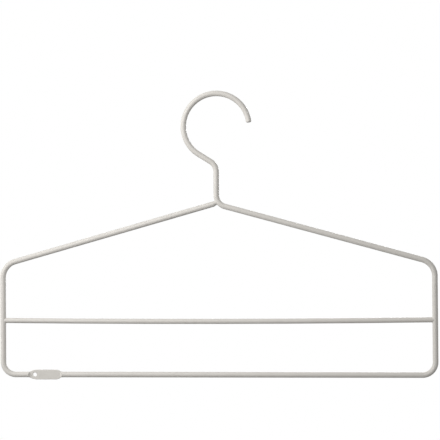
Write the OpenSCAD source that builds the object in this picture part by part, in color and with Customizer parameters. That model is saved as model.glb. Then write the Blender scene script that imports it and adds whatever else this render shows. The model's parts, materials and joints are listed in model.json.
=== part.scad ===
// Wire trouser hanger: one bent round rod makes the hook, the neck and the frame,
// a thinner straight bar for trousers is welded across it, and a short length of
// the bottom rod is pressed flat as a label with a hole.
// X runs along the width, Y is the rod's thickness and Z is up. The origin is the
// inside top of the hook, where the hanger hangs.

/* [Rod] */
// Diameter of the frame's rod over its coat
rod_d = 5.2; // [5:0.1:7]
// Diameter of the trouser bar over its coat
bar_d = 4.8; // [3.6:0.1:5]

/* [Frame] */
// Overall width over the two side rods
frame_w = 410; // [340:1:460]
// Height from the bottom rod's centre line to the point where a side meets its shoulder
side_h = 103.4; // [85:0.1:140]
// Height that the shoulders gain from the sides to the middle
shoulder_rise = 56.1; // [40:0.1:80]
// Height that the left shoulder gains more than the right one
left_lift = 0.6; // [0:0.1:1.5]
// Distance of the frame's middle to the left of the hook's centre
frame_shift = 0.7; // [0:0.1:3]

/* [Trouser bar] */
// Height of the bar's ends above the bottom rod's centre line
bar_h = 51; // [35:0.1:65]
// Depth to which the bar's middle hangs below its ends
bar_sag = 1.2; // [0.4:0.1:3]

/* [Corners] */
// Bend radius of the two upper corners, at the rod's centre line
top_r = 15.7; // [8:0.1:20]
// Bend radius of the two lower corners, at the rod's centre line
bottom_r = 12; // [8:0.1:20]

/* [Hook] */
// Radius of the space inside the hook
hook_in_r = 28.2; // [20:0.1:34]
// Direction from the hook's centre to the place where its rounded tip begins
tip_angle = 8; // [-15:1:30]
// Length of the rounded tip
tip_l = 1.2; // [0.6:0.1:2]
// Slope of the straight run from the hook to the neck
lead_slope = 32; // [28:1:45]
// Bend radius between that run and the neck
neck_bend_r = 11; // [5:0.1:12]
// Length of the neck's straight part
neck_l = 22.2; // [10:0.1:60]
// Distance of the neck to the left of the hook's centre
neck_shift = 0.2; // [0:0.1:2]
// Bend radius from the neck into the right shoulder
apex_bend_r = 11; // [9:0.5:15]

/* [Label] */
// Distance from the left side rod's centre line to the label
label_in = 24; // [21:0.1:60]
// Length of the pressed label with its ramps
label_l = 32.4; // [24:0.1:60]
// Height of the label
label_h = 9.2; // [8:0.1:12]
// Thickness of the label
label_t = 2.1; // [1.4:0.1:3]
// Radius of the two arcs that narrow the label's left end to the rod
label_left_r = 15; // [8:0.1:25]
// Radius of the two arcs that narrow its right end
label_right_r = 9; // [5:0.1:12]
// Radius of the pressed ramps between the round rod and the flat label
ramp_r = 2.3; // [1.8:0.1:4]
// Diameter of the label's hole
hole_d = 3.8; // [2:0.1:5]
// Distance of the hole's centre from the label's left end
hole_in = 6.2; // [5.5:0.1:10]

/* [Welds] */
// Height of a weld above the surface of the frame's rod
weld_h = 0.2; // [0.1:0.05:0.5]
// Length of a weld along the rod that it holds
weld_l = 0.8; // [0.5:0.1:1.5]
// Clearance between the bend below the neck and the rod end and weld that are shaped to it
weld_gap = 0.02; // [0.01:0.01:0.05]

/* [Hidden] */
$fn = 96;
coat = [0.84, 0.82, 0.79];

rod_r = rod_d / 2;
bar_r = bar_d / 2;

// A place to the nearest thousandth of a millimetre, so that neighbours meet exactly
function place(v) = round(v * 1000) / 1000;
// Length of straight rod that a bend takes up on each side of its corner
function bend_reach(r, turn) = place(r * tan(turn / 2));
// A direction in the hanger's plane, with X first and Z second
function along(angle) = [cos(angle), sin(angle)];

// Hook: a round arc from the tip over the top, then the straight run down to the neck
hook_r = hook_in_r + rod_r;
hook_c = [0, -hook_in_r];
hook_turn = 270 - lead_slope - tip_angle;
lead_start = hook_c + hook_r * along(270 - lead_slope);
neck_x = -neck_shift;
neck_turn = 90 - lead_slope;
neck_reach = bend_reach(neck_bend_r, neck_turn);
lead_l = place((neck_x - lead_start.x) / cos(lead_slope) - neck_reach);
neck_top = [neck_x, place(lead_start.y - (neck_x - lead_start.x) * tan(lead_slope) - neck_reach)];

// Frame: both shoulders fall from the neck to the sides, the left one a little steeper
mid_x = -frame_shift;
half_w = (frame_w - rod_d) / 2;
right_slope = atan(shoulder_rise / half_w);
left_slope = atan((shoulder_rise + left_lift) / half_w);
right_turn = 90 - right_slope;
left_turn = 90 - left_slope;
neck_bottom = neck_top - [0, neck_l];
apex_reach = bend_reach(apex_bend_r, right_turn);
apex_corner = neck_bottom - [0, apex_reach];
apex_c = neck_bottom + [apex_bend_r, 0];
left_x = mid_x - half_w;
right_x = mid_x + half_w;
corner_z = place(apex_corner.y - (right_x - neck_x) * tan(right_slope));
bottom_z = corner_z - side_h;

// Left shoulder's end: where its centre line meets that of the bend below the neck
left_corner = [left_x, corner_z];
from_bend = left_corner - apex_c;
toward = -from_bend * along(left_slope);
to_bend = toward - sqrt(toward * toward - from_bend * from_bend + apex_bend_r * apex_bend_r);
left_shoulder_end = left_corner + to_bend * along(left_slope);

// Welds: the diameter of their outside, and that of their reach around the carrying rod
weld_d = rod_d + 2 * weld_h;
weld_reach_d = rod_d + 2 * weld_l;
// The diameter that the left shoulder's end and its weld are cut to around the bend
saddle_d = rod_d + 2 * weld_gap;

// Trouser bar: a very flat arc between the centre lines of the side rods
bar_z = bottom_z + bar_h;
bar_arc_r = (half_w * half_w + bar_sag * bar_sag) / (2 * bar_sag);
bar_half_angle = asin(half_w / bar_arc_r);

// Length of an arc that leaves a straight line and moves away from it by a drop
function arc_reach(r, drop) = sqrt(2 * r * drop - drop * drop);

// Label: its ends along X and the length of the ramps that press the round rod flat
label_x = left_x + label_in;
label_end_x = label_x + label_l;
ramp_l = place(arc_reach(ramp_r, rod_r - label_t / 2));
// Its full height stands between the arcs, which meet the rod's outline halfway up the ramps
label_rise = label_h / 2 - rod_r;
full_from = ramp_l / 2 + arc_reach(label_left_r, label_rise);
full_to = label_l - ramp_l / 2 - arc_reach(label_right_r, label_rise);

// A straight rod between two points of the hanger's plane
module rod(from, to, d = rod_d) {
    run = to - from;
    translate([from.x, 0, from.y])
        rotate([0, 90 - atan2(run.y, run.x), 0])
            cylinder(d = d, h = norm(run));
}

// A bent rod around a centre, that starts in one direction from it and turns by an
// angle, anticlockwise seen from the front where the angle is positive
module bend(centre, r, start, turn, d = rod_d) {
    translate([centre.x, 0, centre.y])
        rotate([90, 0, 0])
            rotate([0, 0, start])
                rotate_extrude(angle = turn)
                    translate([r, 0])
                        circle(d = d);
}

// The bend from the neck into the right shoulder, or a fatter one to cut with
module apex_bend(d = rod_d) {
    bend(apex_c, apex_bend_r, 180, right_turn, d);
}

// What is cut away to round the hook's tip: all that lies outside a large ball.
// The tip begins at Z = 0 and points down.
module tip_cut() {
    cap_r = (rod_r * rod_r + tip_l * tip_l) / (2 * tip_l);
    difference() {
        translate([0, 0, -2 * tip_l])
            cylinder(r = rod_d, h = 3 * tip_l);
        translate([0, 0, cap_r - tip_l])
            sphere(r = cap_r);
    }
}

// Drawn with the straight run along X, then turned to its slope
module hook() {
    tip_turn = 1.5 * tip_l / hook_r * 180 / PI;
    color(coat)
        translate([lead_start.x, 0, lead_start.y])
            rotate([0, lead_slope, 0]) {
                difference() {
                    bend([0, hook_r], hook_r, 270, -hook_turn - tip_turn);
                    translate([0, 0, hook_r])
                        rotate([0, hook_turn + 90, 0])
                            translate([hook_r, 0, 0])
                                tip_cut();
                }
                rod([0, 0], [lead_l, 0]);
                bend([lead_l, -neck_bend_r], neck_bend_r, 90, -neck_turn);
            }
}

module neck() {
    color(coat) {
        rod(neck_top, neck_bottom);
        apex_bend();
    }
}

module left_shoulder() {
    color(coat)
        difference() {
            rod(left_corner + bend_reach(top_r, left_turn) * along(left_slope), left_shoulder_end);
            apex_bend(saddle_d);
        }
}

module right_shoulder() {
    far = [right_x, corner_z] - bend_reach(top_r, right_turn) * along(-right_slope);
    color(coat)
        rod(apex_corner + apex_reach * along(-right_slope), far);
}

// The left (-1) or right (1) side with the bend below it and its turn into the shoulder
module side(way, turn) {
    x = mid_x + way * half_w;
    top = [x, corner_z - bend_reach(top_r, turn)];
    low = [x, bottom_z + bottom_r];
    outward = 90 - way * 90;
    bend(top - [way * top_r, 0], top_r, outward, way * turn);
    rod(top, low);
    bend(low - [way * bottom_r, 0], bottom_r, outward, -way * 90);
}

module left_side() {
    color(coat) {
        side(-1, left_turn);
        rod([left_x + bottom_r, bottom_z], [label_x, bottom_z]);
    }
}

module right_side() {
    color(coat)
        side(1, right_turn);
}

module bottom_rod() {
    color(coat)
        rod([label_end_x, bottom_z], [right_x - bottom_r, bottom_z]);
}

// Outline of the flat label from X = 0 to its length, narrowed by arcs at both ends
module label_outline() {
    label_end(full_from, label_left_r);
    label_end(full_to, label_right_r);
    translate([full_from, -label_h / 2])
        square([full_to - full_from, label_h]);
}

// The two arcs that meet the label's full height at X
module label_end(x, r) {
    intersection() {
        translate([x, label_h / 2 - r])
            circle(r = r);
        translate([x, r - label_h / 2])
            circle(r = r);
        translate([0, -label_h])
            square([label_l, 2 * label_h]);
    }
}

// A short round stub that is pressed flat towards the label's middle
module press_ramp(at, way) {
    flat_at = at + way * ramp_l;
    difference() {
        rod([min(at, flat_at), bottom_z], [max(at, flat_at), bottom_z]);
        for (side = [-1, 1])
            translate([flat_at, side * (label_t / 2 + ramp_r), bottom_z - rod_d])
                cylinder(r = ramp_r, h = 2 * rod_d);
    }
}

module label_flat() {
    color(coat)
        difference() {
            union() {
                translate([label_x, label_t / 2, bottom_z])
                    rotate([90, 0, 0])
                        linear_extrude(height = label_t)
                            label_outline();
                press_ramp(label_x, 1);
                press_ramp(label_end_x, -1);
            }
            translate([label_x + hole_in, label_t, bottom_z])
                rotate([90, 0, 0])
                    cylinder(d = hole_d, h = 2 * label_t);
        }
}

// Half of the bar's arc, from its middle to the centre line of the left (-1) or right (1) side
module bar_half(way) {
    translate([mid_x, 0, bar_z - bar_sag])
        bend([0, bar_arc_r], bar_arc_r, 270, way * bar_half_angle, bar_d);
}

// The upright of a side rod beside the bar's end, or a fatter one to cut with
module side_upright(way, d = rod_d) {
    x = mid_x + way * half_w;
    rod([x, bar_z - rod_d], [x, bar_z + rod_d], d);
}

module trouser_bar() {
    color(coat)
        for (way = [-1, 1])
            difference() {
                bar_half(way);
                side_upright(way);
            }
}

module bar_weld(way) {
    end = [mid_x + way * half_w, bar_z];
    color(coat)
        difference() {
            intersection() {
                rod(end, end - [way * rod_d, 0], weld_d);
                side_upright(way, weld_reach_d);
            }
            side_upright(way);
            bar_half(way);
        }
}

module left_bar_weld() {
    bar_weld(-1);
}

module right_bar_weld() {
    bar_weld(1);
}

module apex_weld() {
    far = left_shoulder_end - 2 * rod_d * along(left_slope);
    color(coat)
        difference() {
            intersection() {
                rod(left_shoulder_end, far, weld_d);
                apex_bend(weld_reach_d);
            }
            apex_bend(saddle_d);
            rod(left_shoulder_end, far);
        }
}

hook();
neck();
left_shoulder();
right_shoulder();
left_side();
right_side();
bottom_rod();
label_flat();
trouser_bar();
apex_weld();
left_bar_weld();
right_bar_weld();
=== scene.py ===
# Looks of the wire trouser hanger: its powder coat, the rounded hook tip, the pressed
# label, the small welds and the shoulder's pinched end. Lengths are in metres, in the frame
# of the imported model: X runs along the width, Y through the rod's thickness and Z is up.
import json
from math import atan, cos, pi, radians, sin, sqrt, tan

import bmesh
import bpy
from mathutils import Matrix, Vector

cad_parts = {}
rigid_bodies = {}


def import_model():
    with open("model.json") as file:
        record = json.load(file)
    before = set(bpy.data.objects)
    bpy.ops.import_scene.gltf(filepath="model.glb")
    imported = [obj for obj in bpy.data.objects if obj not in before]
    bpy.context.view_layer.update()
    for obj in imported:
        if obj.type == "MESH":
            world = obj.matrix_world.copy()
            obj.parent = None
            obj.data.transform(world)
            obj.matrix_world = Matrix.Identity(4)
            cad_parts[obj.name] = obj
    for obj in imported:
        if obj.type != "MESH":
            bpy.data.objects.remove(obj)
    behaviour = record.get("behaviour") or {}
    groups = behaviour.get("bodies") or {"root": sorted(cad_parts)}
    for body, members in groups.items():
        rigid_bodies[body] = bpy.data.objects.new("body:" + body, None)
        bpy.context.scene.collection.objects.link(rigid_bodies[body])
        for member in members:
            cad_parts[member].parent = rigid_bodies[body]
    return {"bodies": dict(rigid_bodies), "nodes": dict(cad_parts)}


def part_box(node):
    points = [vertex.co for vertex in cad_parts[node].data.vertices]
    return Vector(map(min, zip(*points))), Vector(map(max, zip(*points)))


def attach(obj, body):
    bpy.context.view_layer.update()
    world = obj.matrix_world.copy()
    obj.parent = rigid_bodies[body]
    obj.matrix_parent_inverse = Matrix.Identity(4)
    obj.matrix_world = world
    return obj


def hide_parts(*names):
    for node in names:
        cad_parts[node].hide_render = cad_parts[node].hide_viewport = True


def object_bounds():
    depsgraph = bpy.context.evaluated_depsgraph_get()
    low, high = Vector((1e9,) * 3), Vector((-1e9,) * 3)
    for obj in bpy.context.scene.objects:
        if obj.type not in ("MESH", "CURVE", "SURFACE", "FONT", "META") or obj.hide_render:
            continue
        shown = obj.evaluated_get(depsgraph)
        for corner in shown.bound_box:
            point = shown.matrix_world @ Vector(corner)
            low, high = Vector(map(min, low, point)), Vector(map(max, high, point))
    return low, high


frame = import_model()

cad_low, cad_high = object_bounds()

MM = 0.001
RIGHTWARD = Vector((1, 0, 0))
BACKWARD = Vector((0, 1, 0))
UPWARD = Vector((0, 0, 1))

# Camera, found by matching the model to the photograph
CAMERA_TARGET = Vector((3.145, 0, -115.92)) * MM
CAMERA_DISTANCE = 1250 * MM
CAMERA_YAW = radians(4.466)
CAMERA_PITCH = radians(0.69)
CAMERA_ROLL = radians(0.375)
CAMERA_LENS = 109.394
CAMERA_SENSOR = 36
CAMERA_NEAR = 10 * MM

# Sizes of the bent rod that the frame's boxes don't give
LEAD_SLOPE = radians(32)
TIP_ANGLE = radians(8)
TIP_L = 1.2 * MM
TIP_FULLNESS = 0.8
TIP_LEAST = 0.02
NECK_BEND_R = 11 * MM
NECK_L = 22.2 * MM
APEX_BEND_R = 11 * MM
SHOULDER_RISE = 56.1 * MM
LEFT_LIFT = 0.6 * MM

# Label: the arcs that narrow its ends and the ramp that they start on, the lengths over
# which the rod is pressed flat at each end, its edges and its hole
LABEL_T = 2.1 * MM
LABEL_LEFT_R = 15 * MM
LABEL_RIGHT_R = 9 * MM
RAMP_L = 2.173 * MM
LEFT_PRESS_L = 1.7 * MM
RIGHT_PRESS_L = 2.173 * MM
LABEL_EDGE_R = 0.5 * MM
HOLE_R = 1.9 * MM
HOLE_IN = 6.2 * MM
HOLE_RIM_R = 0.3 * MM

# Welds: how far a fillet reaches on each of the two rods that it joins, the least share of
# that at the front and back, how deep it goes into them, and how near to the front or back
# of the rod that carries it its foot may come
BAR_WELD_LEG = 0.9 * MM
APEX_WELD_LEG = 0.35 * MM
WELD_LEAST = 0.15
WELD_DEPTH = 0.3 * MM
WELD_WIDEST = 0.985

# The left shoulder's end, pinched a little where it is welded to the neck's bend
PINCH_R = 2.05 * MM
PINCH_L = 3.2 * MM
PINCH_LIFT = 0.3 * MM

# Powder coat: its lightest and darkest tone, and the size and depth of its mottle, orange
# peel and grain
COAT_LIGHT = (0.658, 0.633, 0.593, 1)
COAT_DARK = (0.628, 0.603, 0.563, 1)
COAT_ROUGHNESS = (0.42, 0.54)
COAT_SPECULAR = 0.4
MOTTLE_SIZE = 9 * MM
PEEL_SIZE = 0.9 * MM
PEEL_DEPTH = 0.01 * MM
GRAIN_SIZE = 0.22 * MM
GRAIN_DEPTH = 0.006 * MM
GRAIN_TONE = (0.965, 1.02)
NOISE_RANGE = (0.3, 0.7)

# Room: the floor's glow is its share of plain white near the object and far from it, and
# its span says how near and how far
WHITE = (1, 1, 1, 1)
FLOOR_SIZE = 30
FLOOR_DROP = 300 * MM
FLOOR_COLOUR = (0.4, 0.4, 0.4, 1)
FLOOR_ROUGHNESS = 0.9
FLOOR_SPECULAR = 0.1
FLOOR_GLOW = (0.6, 1)
FLOOR_GLOW_SPAN = (0.5, 1.6)
WORLD_STRENGTH = 0.425
LIGHTS = (
    # name, place, size, power
    ("side_light", (-1.4, -0.653, 0.294), 0.64, 11.06),
    ("front_light", (-0.23, -0.493, 0.134), 0.24, 1.78),
    ("back_light", (0.35, 1.4, 0.1), 0.7, 9),
)

# Mesh fineness
SIDES = 64
BEND_STEP = radians(2)
TIP_STEPS = 8
ROD_STEPS = 20
PINCH_STEPS = 16
RAMP_STEPS = 16
LABEL_QUARTER_STEPS = 8
LABEL_ARC_STEP = 0.25 * MM
LABEL_ARC_STEPS = 29
RIM_STEPS = 6
WELD_STEPS = 8
HALVINGS = 40
SAME_PLACE = 0.0001 * MM

# From these angles on, an edge is shaded sharp
SHARP = radians(50)
LABEL_SHARP = radians(60)
WELD_SHARP = radians(80)


def smooth_step(t):
    t = min(max(t, 0), 1)
    return t * t * (3 - 2 * t)


def in_plane(angle):
    """A direction in the hanger's plane; 0 points right, and a quarter turn points up."""
    return Vector((cos(angle), 0, sin(angle)))


# The frame's centre lines, from the boxes of its nodes

def centre_lines():
    bottom_low, bottom_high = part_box("bottom_rod")
    bar_low, bar_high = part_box("trouser_bar")
    rod_r = (bottom_high[1] - bottom_low[1]) / 2
    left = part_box("left_side")[0][0] + rod_r
    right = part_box("right_side")[1][0] - rod_r
    neck_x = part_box("neck")[0][0] + rod_r
    half_w = (right - left) / 2
    right_slope = atan(SHOULDER_RISE / half_w)
    neck_bottom = Vector((neck_x, 0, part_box("hook")[0][2] - NECK_L))
    apex_corner_z = neck_bottom.z - APEX_BEND_R * tan((pi / 2 - right_slope) / 2)
    return {
        "rod_r": rod_r,
        "bar_r": (bar_high[1] - bar_low[1]) / 2,
        "left": left,
        "right": right,
        "neck_x": neck_x,
        "left_slope": atan((SHOULDER_RISE + LEFT_LIFT) / half_w),
        "left_corner": Vector((left, 0, apex_corner_z - (right - neck_x) * tan(right_slope))),
        "apex_centre": neck_bottom + Vector((APEX_BEND_R, 0, 0)),
        "bottom_z": (bottom_low[2] + bottom_high[2]) / 2,
        "bar_end_z": bar_high[2] - (bar_high[1] - bar_low[1]) / 2,
    }


LINES = centre_lines()
ROD_R = LINES["rod_r"]


def add_object(name, mesh):
    made = bpy.data.objects.new(name, mesh)
    bpy.context.scene.collection.objects.link(made)
    return made


# Powder coat

def add_node(tree, kind, **inputs):
    made = tree.nodes.new(kind)
    for key, value in inputs.items():
        made.inputs[key.replace("_", " ")].default_value = value
    return made


def coat_noise(tree, place, size, detail, roughness):
    made = add_node(tree, "ShaderNodeTexNoise", Scale=1 / size, Detail=detail, Roughness=roughness)
    tree.links.new(place.outputs["Object"], made.inputs["Vector"])
    return made.outputs["Fac"]


def map_range(tree, source, before, after):
    made = tree.nodes.new("ShaderNodeMapRange")
    made.inputs["From Min"].default_value, made.inputs["From Max"].default_value = before
    made.inputs["To Min"].default_value, made.inputs["To Max"].default_value = after
    tree.links.new(source, made.inputs["Value"])
    return made.outputs["Result"]


def coat_colour(tree, mottle, speck):
    ramp = tree.nodes.new("ShaderNodeValToRGB")
    for element, place, tone in zip(ramp.color_ramp.elements, NOISE_RANGE, (COAT_DARK, COAT_LIGHT)):
        element.position = place
        element.color = tone
    tree.links.new(mottle, ramp.inputs["Fac"])
    grain = tree.nodes.new("ShaderNodeMix")
    grain.data_type = "RGBA"
    grain.blend_type = "MULTIPLY"
    grain.inputs["Factor"].default_value = 1
    tree.links.new(ramp.outputs["Color"], grain.inputs["A"])
    tree.links.new(map_range(tree, speck, NOISE_RANGE, GRAIN_TONE), grain.inputs["B"])
    return grain.outputs["Result"]


def bump(tree, height, depth, before=None):
    made = add_node(tree, "ShaderNodeBump", Distance=depth, Strength=1)
    tree.links.new(height, made.inputs["Height"])
    if before:
        tree.links.new(before, made.inputs["Normal"])
    return made.outputs["Normal"]


def powder_coat():
    made = bpy.data.materials.new("powder_coat_finish")
    made.use_nodes = True
    tree = made.node_tree
    shader = tree.nodes["Principled BSDF"]
    place = tree.nodes.new("ShaderNodeTexCoord")
    mottle = coat_noise(tree, place, MOTTLE_SIZE, detail=3, roughness=0.6)
    peel = coat_noise(tree, place, PEEL_SIZE, detail=2, roughness=0.5)
    grain = coat_noise(tree, place, GRAIN_SIZE, detail=2, roughness=0.6)
    roughness = map_range(tree, peel, NOISE_RANGE, COAT_ROUGHNESS)
    coarse = bump(tree, peel, PEEL_DEPTH)
    tree.links.new(coat_colour(tree, mottle, grain), shader.inputs["Base Color"])
    tree.links.new(roughness, shader.inputs["Roughness"])
    tree.links.new(bump(tree, grain, GRAIN_DEPTH, coarse), shader.inputs["Normal"])
    shader.inputs["Specular IOR Level"].default_value = COAT_SPECULAR
    return made


# Mesh building

def ring(bm, centre, across, upward, radius):
    """Points around a circle, from the direction across to the direction upward and on."""
    points = []
    for k in range(SIDES):
        a = 2 * pi * k / SIDES
        points.append(bm.verts.new(centre + radius * (cos(a) * across + sin(a) * upward)))
    return points


def join_rings(bm, rings, closed=False, left_out=()):
    """Faces between each ring and the next; left_out holds (ring, side) pairs that stay open."""
    pairs = list(zip(rings, rings[1:] + rings[:1] if closed else rings[1:]))
    for i, (one, other) in enumerate(pairs):
        for k in range(len(one)):
            n = (k + 1) % len(one)
            if (i, k) not in left_out:
                bm.faces.new((one[k], one[n], other[n], other[k]))


def finish_mesh(name, bm, sharp=SHARP):
    bmesh.ops.remove_doubles(bm, verts=bm.verts, dist=SAME_PLACE)
    bmesh.ops.recalc_face_normals(bm, faces=bm.faces)
    for face in bm.faces:
        face.smooth = True
    mesh = bpy.data.meshes.new(name)
    bm.to_mesh(mesh)
    bm.free()
    mesh.set_sharp_from_angle(angle=sharp)
    return add_object(name, mesh)


def cap(bm, rings):
    """Closes both ends."""
    bm.faces.new(rings[0])
    bm.faces.new(rings[-1])


def tube(name, stations):
    """A closed round tube through (centre, heading, radius) stations."""
    bm = bmesh.new()
    rings = []
    for centre, heading, radius in stations:
        rings.append(ring(bm, centre, in_plane(heading + pi / 2), BACKWARD, radius))
    join_rings(bm, rings)
    cap(bm, rings)
    return finish_mesh(name, bm)


def arc_stations(centre, r, start, turn, radius):
    """Stations along an arc; a positive turn is anticlockwise seen from the front."""
    count = max(2, round(abs(turn) / BEND_STEP))
    way = 1 if turn > 0 else -1
    made = []
    for k in range(count + 1):
        a = start + turn * k / count
        made.append((centre + r * in_plane(a), a + way * pi / 2, radius))
    return made


# The hook, from its rounded tip over the top and down into the neck

def tip_stations(centre, r, start):
    """A domed end that goes on from the arc's start, opposite to its turn."""
    made = []
    for k in range(TIP_STEPS, 0, -1):
        a = pi / 2 * k / TIP_STEPS
        at = start - TIP_L * sin(a) / r
        radius = ROD_R * max(cos(a), TIP_LEAST) ** TIP_FULLNESS
        made.append((centre + r * in_plane(at), at + pi / 2, radius))
    return made


def make_hook():
    low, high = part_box("hook")
    r = -low[0] - ROD_R
    centre = Vector((0, 0, high[2] - r - ROD_R))
    turn = radians(270) - LEAD_SLOPE - TIP_ANGLE
    bend_centre = Vector((LINES["neck_x"] - NECK_BEND_R, 0, low[2]))
    bend_start = radians(90) - LEAD_SLOPE
    stations = tip_stations(centre, r, TIP_ANGLE)
    stations += arc_stations(centre, r, TIP_ANGLE, turn, ROD_R)
    stations += arc_stations(bend_centre, NECK_BEND_R, bend_start, -bend_start, ROD_R)
    return tube("hook_rod", stations)


# The label, pressed flat out of the round rod

def label_half_height(s, length, full):
    """Half the label's height at a distance s from its left end."""
    rise = full - ROD_R
    for r, near in ((LABEL_LEFT_R, s), (LABEL_RIGHT_R, length - s)):
        short = RAMP_L / 2 + sqrt(2 * r * rise - rise * rise) - near
        if short > 0:
            return max(ROD_R, full - r + sqrt(r * r - short * short))
    return full


def label_section(bm, x, z, half_h, half_t, corner):
    """A rounded rectangle, which is a circle where its corner radius fills it."""
    points = []
    steps = LABEL_QUARTER_STEPS
    for side_h, side_t, start in ((1, -1, 0), (-1, -1, 1), (-1, 1, 2), (1, 1, 3)):
        centre = Vector((x, side_t * (half_t - corner), z + side_h * (half_h - corner)))
        for k in range(steps + 1):
            a = pi / 2 * (start + k / steps)
            edge = Vector((0, -sin(a), cos(a)))
            points.append(bm.verts.new(centre + corner * edge))
    return points


def label_places(length):
    """Where the label's sections stand: close at its ends, wider apart in its plain middle."""
    near = [RAMP_L * k / RAMP_STEPS for k in range(RAMP_STEPS)]
    near += [RAMP_L + LABEL_ARC_STEP * k for k in range(LABEL_ARC_STEPS)]
    middle = [length * share for share in (0.3, 0.35, 0.4, 0.45, 0.5, 0.55, 0.6, 0.65, 0.7)]
    return sorted(near + [length - s for s in near] + middle)


def make_label():
    low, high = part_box("label_flat")
    z = LINES["bottom_z"]
    length = high[0] - low[0]
    full = (high[2] - low[2]) / 2
    places = label_places(length)
    bm = bmesh.new()
    rings = []
    for s in places:
        press = smooth_step(min(s / LEFT_PRESS_L, (length - s) / RIGHT_PRESS_L))
        half_t = ROD_R + press * (LABEL_T / 2 - ROD_R)
        corner = half_t + press * (LABEL_EDGE_R - half_t)
        half_h = label_half_height(s, length, full)
        rings.append(label_section(bm, low[0] + s, z, half_h, half_t, corner))
    cap(bm, rings)

    clear = HOLE_R + 2 * HOLE_RIM_R
    first = max(i for i, s in enumerate(places) if s < HOLE_IN - clear)
    last = min(i for i, s in enumerate(places) if s > HOLE_IN + clear)
    front, back = label_flat_sides()
    join_rings(bm, rings, left_out={(i, k) for i in range(first, last) for k in (front, back)})
    hole = hole_rings(bm, Vector((low[0] + HOLE_IN, 0, z)))
    join_rings(bm, hole)
    near = rings[first:last + 1]
    flat_around_hole(bm, [r[front] for r in near], [r[front + 1] for r in near], hole[0])
    flat_around_hole(bm, [r[back + 1] for r in near], [r[back] for r in near], hole[-1])

    label = finish_mesh("label_pressed", bm, LABEL_SHARP)
    keep_flats_flat(label)
    return label


def keep_flats_flat(made):
    """Lets large faces set the shading normals, and keeps the result in the mesh."""
    made.modifiers.new("flats", "WEIGHTED_NORMAL").keep_sharp = True
    graph = bpy.context.evaluated_depsgraph_get()
    mesh = bpy.data.meshes.new_from_object(made.evaluated_get(graph))
    made.modifiers.clear()
    made.data = mesh


def label_flat_sides():
    """Which sides of a label section lie on its flat front and on its flat back."""
    quarter = LABEL_QUARTER_STEPS + 1
    return quarter - 1, 3 * quarter - 1


def hole_rings(bm, centre):
    """Rings from the front of the hole to its back, with a rounded rim on both faces."""
    half_t = LABEL_T / 2
    profile = []
    for k in range(RIM_STEPS + 1):
        a = pi / 2 * k / RIM_STEPS
        profile.append((HOLE_R + HOLE_RIM_R * (1 - sin(a)), HOLE_RIM_R * (1 - cos(a)) - half_t))
    profile += [(r, -y) for r, y in reversed(profile)]
    return [ring(bm, centre + y * BACKWARD, RIGHTWARD, UPWARD, r) for r, y in profile]


def flat_around_hole(bm, upper, lower, rim):
    """Two faces that fill the flat between its upper and lower edges, around the rim."""
    half = len(rim) // 2
    bm.faces.new(upper + rim[:half + 1])
    bm.faces.new([upper[0]] + lower + [upper[-1], rim[0]] + rim[:half - 1:-1])


# Welds: a small concave fillet around the end of one rod, on the surface of another

def surface_hit(outside, start, way):
    """Where a line from a point inside a rod leaves it, found by halving."""
    near, far = 0, 4 * ROD_R
    for _ in range(HALVINGS):
        middle = (near + far) / 2
        if outside(start + middle * way) < 0:
            near = middle
        else:
            far = middle
    return start + near * way


def make_weld(name, joint, heading, held_r, leg, outside):
    """A ring of fillet around a rod that leaves the joint in a direction of the hanger's plane.

    It narrows at the front and back, where the two rods run into each other.
    """
    along = in_plane(heading)
    across = in_plane(heading + pi / 2)
    widest = WELD_WIDEST * ROD_R

    def on_carrier(a, radius):
        side = min(max(radius * sin(a), -widest), widest)
        start = joint + radius * cos(a) * across + side * BACKWARD
        return surface_hit(outside, start, along)

    bm = bmesh.new()
    rings = []
    for k in range(SIDES):
        a = 2 * pi * k / SIDES
        reach = leg * max(abs(cos(a)), WELD_LEAST)
        corner = on_carrier(a, held_r)
        top = corner + reach * along
        foot = on_carrier(a, held_r + reach)
        points = []
        for j in range(WELD_STEPS + 1):
            t = j / WELD_STEPS
            points.append((1 - t) ** 2 * top + 2 * t * (1 - t) * corner + t * t * foot)
        outward = cos(a) * across + sin(a) * BACKWARD
        points.append(corner - WELD_DEPTH * (along + outward))
        rings.append([bm.verts.new(p) for p in points])
    join_rings(bm, rings, closed=True)
    return finish_mesh(name, bm, WELD_SHARP)


def straight_rod(x):
    """Signed distance from an upright rod."""
    return lambda p: sqrt((p.x - x) ** 2 + p.y ** 2) - ROD_R


def bent_rod(centre, bend_r):
    """Signed distance from a rod bent around a centre."""
    def outside(p):
        out = sqrt((p.x - centre.x) ** 2 + (p.z - centre.z) ** 2) - bend_r
        return sqrt(out * out + p.y ** 2) - ROD_R
    return outside


def make_bar_weld(name, x, heading):
    joint = Vector((x, 0, LINES["bar_end_z"]))
    return make_weld(name, joint, heading, LINES["bar_r"], BAR_WELD_LEG, straight_rod(x))


def apex_joint():
    """Where the left shoulder's centre line meets the one of the neck's bend."""
    to_centre = LINES["apex_centre"] - LINES["left_corner"]
    ahead = to_centre.dot(in_plane(LINES["left_slope"]))
    reach = ahead - sqrt(ahead * ahead - to_centre.length_squared + APEX_BEND_R ** 2)
    return LINES["left_corner"] + reach * in_plane(LINES["left_slope"])


def make_apex_weld():
    slope = LINES["left_slope"]
    joint = apex_joint() + PINCH_LIFT * in_plane(slope + pi / 2)
    bend = bent_rod(LINES["apex_centre"], APEX_BEND_R)
    return make_weld("apex_fillet", joint, slope + pi, PINCH_R, APEX_WELD_LEG, bend)


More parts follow.
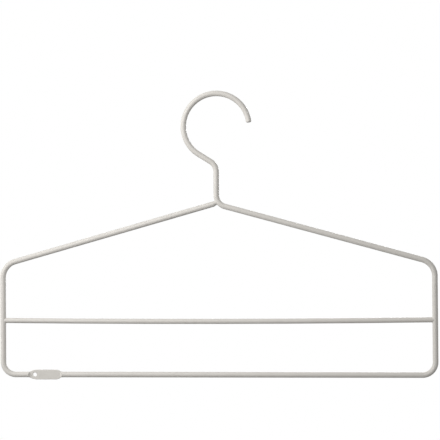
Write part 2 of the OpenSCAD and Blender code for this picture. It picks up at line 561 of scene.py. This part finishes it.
def make_left_shoulder():
    """The straight rod with its pinched end, which runs on into the neck's bend."""
    slope = LINES["left_slope"]
    ahead, above = in_plane(slope), in_plane(slope + pi / 2)
    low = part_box("left_shoulder")[0]
    start = Vector((low[0] + ROD_R * sin(slope), 0, low[2] + ROD_R * cos(slope)))
    joint = apex_joint()
    length = (joint - start).length
    pinch_start = length - ROD_R - PINCH_L
    stations = []
    for k in range(ROD_STEPS):
        s = length * k / ROD_STEPS
        if s < pinch_start:
            stations.append((start + s * ahead, slope, ROD_R))
    for k in range(PINCH_STEPS + 1):
        t = smooth_step(k / PINCH_STEPS)
        centre = start + (pinch_start + PINCH_L * k / PINCH_STEPS) * ahead + t * PINCH_LIFT * above
        stations.append((centre, slope, ROD_R + t * (PINCH_R - ROD_R)))
    stations.append((joint + PINCH_LIFT * above, slope, PINCH_R))
    return tube("left_shoulder_rod", stations)


# The room: floor, background and lights, which aren't part of the object

def make_floor():
    bpy.ops.mesh.primitive_plane_add(size=FLOOR_SIZE, location=(0, 0, cad_low[2] - FLOOR_DROP))
    floor = bpy.context.object
    floor.name = "floor"
    made = bpy.data.materials.new("floor_white")
    made.use_nodes = True
    tree = made.node_tree
    shader = tree.nodes["Principled BSDF"]
    shader.inputs["Base Color"].default_value = FLOOR_COLOUR
    shader.inputs["Roughness"].default_value = FLOOR_ROUGHNESS
    shader.inputs["Specular IOR Level"].default_value = FLOOR_SPECULAR
    white = add_node(tree, "ShaderNodeEmission", Color=WHITE, Strength=1)
    whiten = tree.nodes.new("ShaderNodeMath")
    whiten.operation = "MULTIPLY"
    tree.links.new(floor_glow(tree), whiten.inputs[0])
    tree.links.new(seen_directly(tree), whiten.inputs[1])
    mix = tree.nodes.new("ShaderNodeMixShader")
    tree.links.new(whiten.outputs["Value"], mix.inputs["Fac"])
    tree.links.new(shader.outputs["BSDF"], mix.inputs[1])
    tree.links.new(white.outputs["Emission"], mix.inputs[2])
    tree.links.new(mix.outputs["Shader"], tree.nodes["Material Output"].inputs["Surface"])
    floor.data.materials.append(made)


def floor_glow(tree):
    """A share of plain white that is full away from the object, and leaves its shadow showing."""
    place = tree.nodes.new("ShaderNodeTexCoord")
    distance = tree.nodes.new("ShaderNodeVectorMath")
    distance.operation = "LENGTH"
    tree.links.new(place.outputs["Object"], distance.inputs[0])
    return map_range(tree, distance.outputs["Value"], FLOOR_GLOW_SPAN, FLOOR_GLOW)


def seen_directly(tree):
    """1 for what the camera sees, directly or mirrored, and 0 for what only lights the object."""
    path = tree.nodes.new("ShaderNodeLightPath")
    total = path.outputs["Is Camera Ray"]
    for ray in ("Is Glossy Ray", "Is Transmission Ray"):
        either = tree.nodes.new("ShaderNodeMath")
        either.operation = "MAXIMUM"
        tree.links.new(total, either.inputs[0])
        tree.links.new(path.outputs[ray], either.inputs[1])
        total = either.outputs[0]
    return total


def make_world():
    world = bpy.data.worlds.new("studio")
    bpy.context.scene.world = world
    world.use_nodes = True
    tree = world.node_tree
    tree.nodes.clear()
    fill = add_node(tree, "ShaderNodeBackground", Color=WHITE, Strength=WORLD_STRENGTH)
    white = add_node(tree, "ShaderNodeBackground", Color=WHITE, Strength=1)
    mix = tree.nodes.new("ShaderNodeMixShader")
    out = tree.nodes.new("ShaderNodeOutputWorld")
    tree.links.new(seen_directly(tree), mix.inputs["Fac"])
    tree.links.new(fill.outputs["Background"], mix.inputs[1])
    tree.links.new(white.outputs["Background"], mix.inputs[2])
    tree.links.new(mix.outputs["Shader"], out.inputs["Surface"])


def make_light(name, place, size, power):
    data = bpy.data.lights.new(name, "AREA")
    data.shape = "DISK"
    data.size = size
    data.energy = power
    light = add_object(name, data)
    light.location = place
    aim = (cad_low + cad_high) / 2 - Vector(place)
    light.rotation_euler = aim.to_track_quat("-Z", "Y").to_euler()


# The camera

def look_along(yaw, pitch, roll):
    """The camera's right, up and backward directions."""
    forward = Vector((-sin(yaw) * cos(pitch), cos(yaw) * cos(pitch), sin(pitch)))
    right = Vector((cos(yaw), sin(yaw), 0))
    down = forward.cross(right)
    turned_right = right * cos(roll) + down * sin(roll)
    turned_down = down * cos(roll) - right * sin(roll)
    return turned_right, -turned_down, -forward


def make_camera():
    right, up, back = look_along(CAMERA_YAW, CAMERA_PITCH, CAMERA_ROLL)
    data = bpy.data.cameras.new("camera")
    data.lens = CAMERA_LENS
    data.sensor_width = CAMERA_SENSOR
    data.clip_start = CAMERA_NEAR
    camera = add_object("camera", data)
    place = Matrix((right, up, back)).transposed().to_4x4()
    place.translation = CAMERA_TARGET + CAMERA_DISTANCE * back
    camera.matrix_world = place
    bpy.context.scene.camera = camera


# The main script

def paint(piece, coat):
    piece.data.materials.clear()
    piece.data.materials.append(coat)


def dress(coat):
    """Every node and piece takes the coat; a new piece rides on the hanger's body."""
    for node in frame["nodes"].values():
        paint(node, coat)
    body = next(iter(frame["bodies"]))
    stands_for = {
        "hook": make_hook(),
        "label_flat": make_label(),
        "left_bar_weld": make_bar_weld("left_bar_fillet", LINES["left"], 0),
        "right_bar_weld": make_bar_weld("right_bar_fillet", LINES["right"], pi),
        "apex_weld": make_apex_weld(),
        "left_shoulder": make_left_shoulder(),
    }
    for node, piece in stands_for.items():
        paint(piece, coat)
        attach(piece, body)
        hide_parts(node)


bpy.context.scene.view_settings.view_transform = "Standard"
make_camera()
make_world()
make_floor()
for light in LIGHTS:
    make_light(*light)
dress(powder_coat())
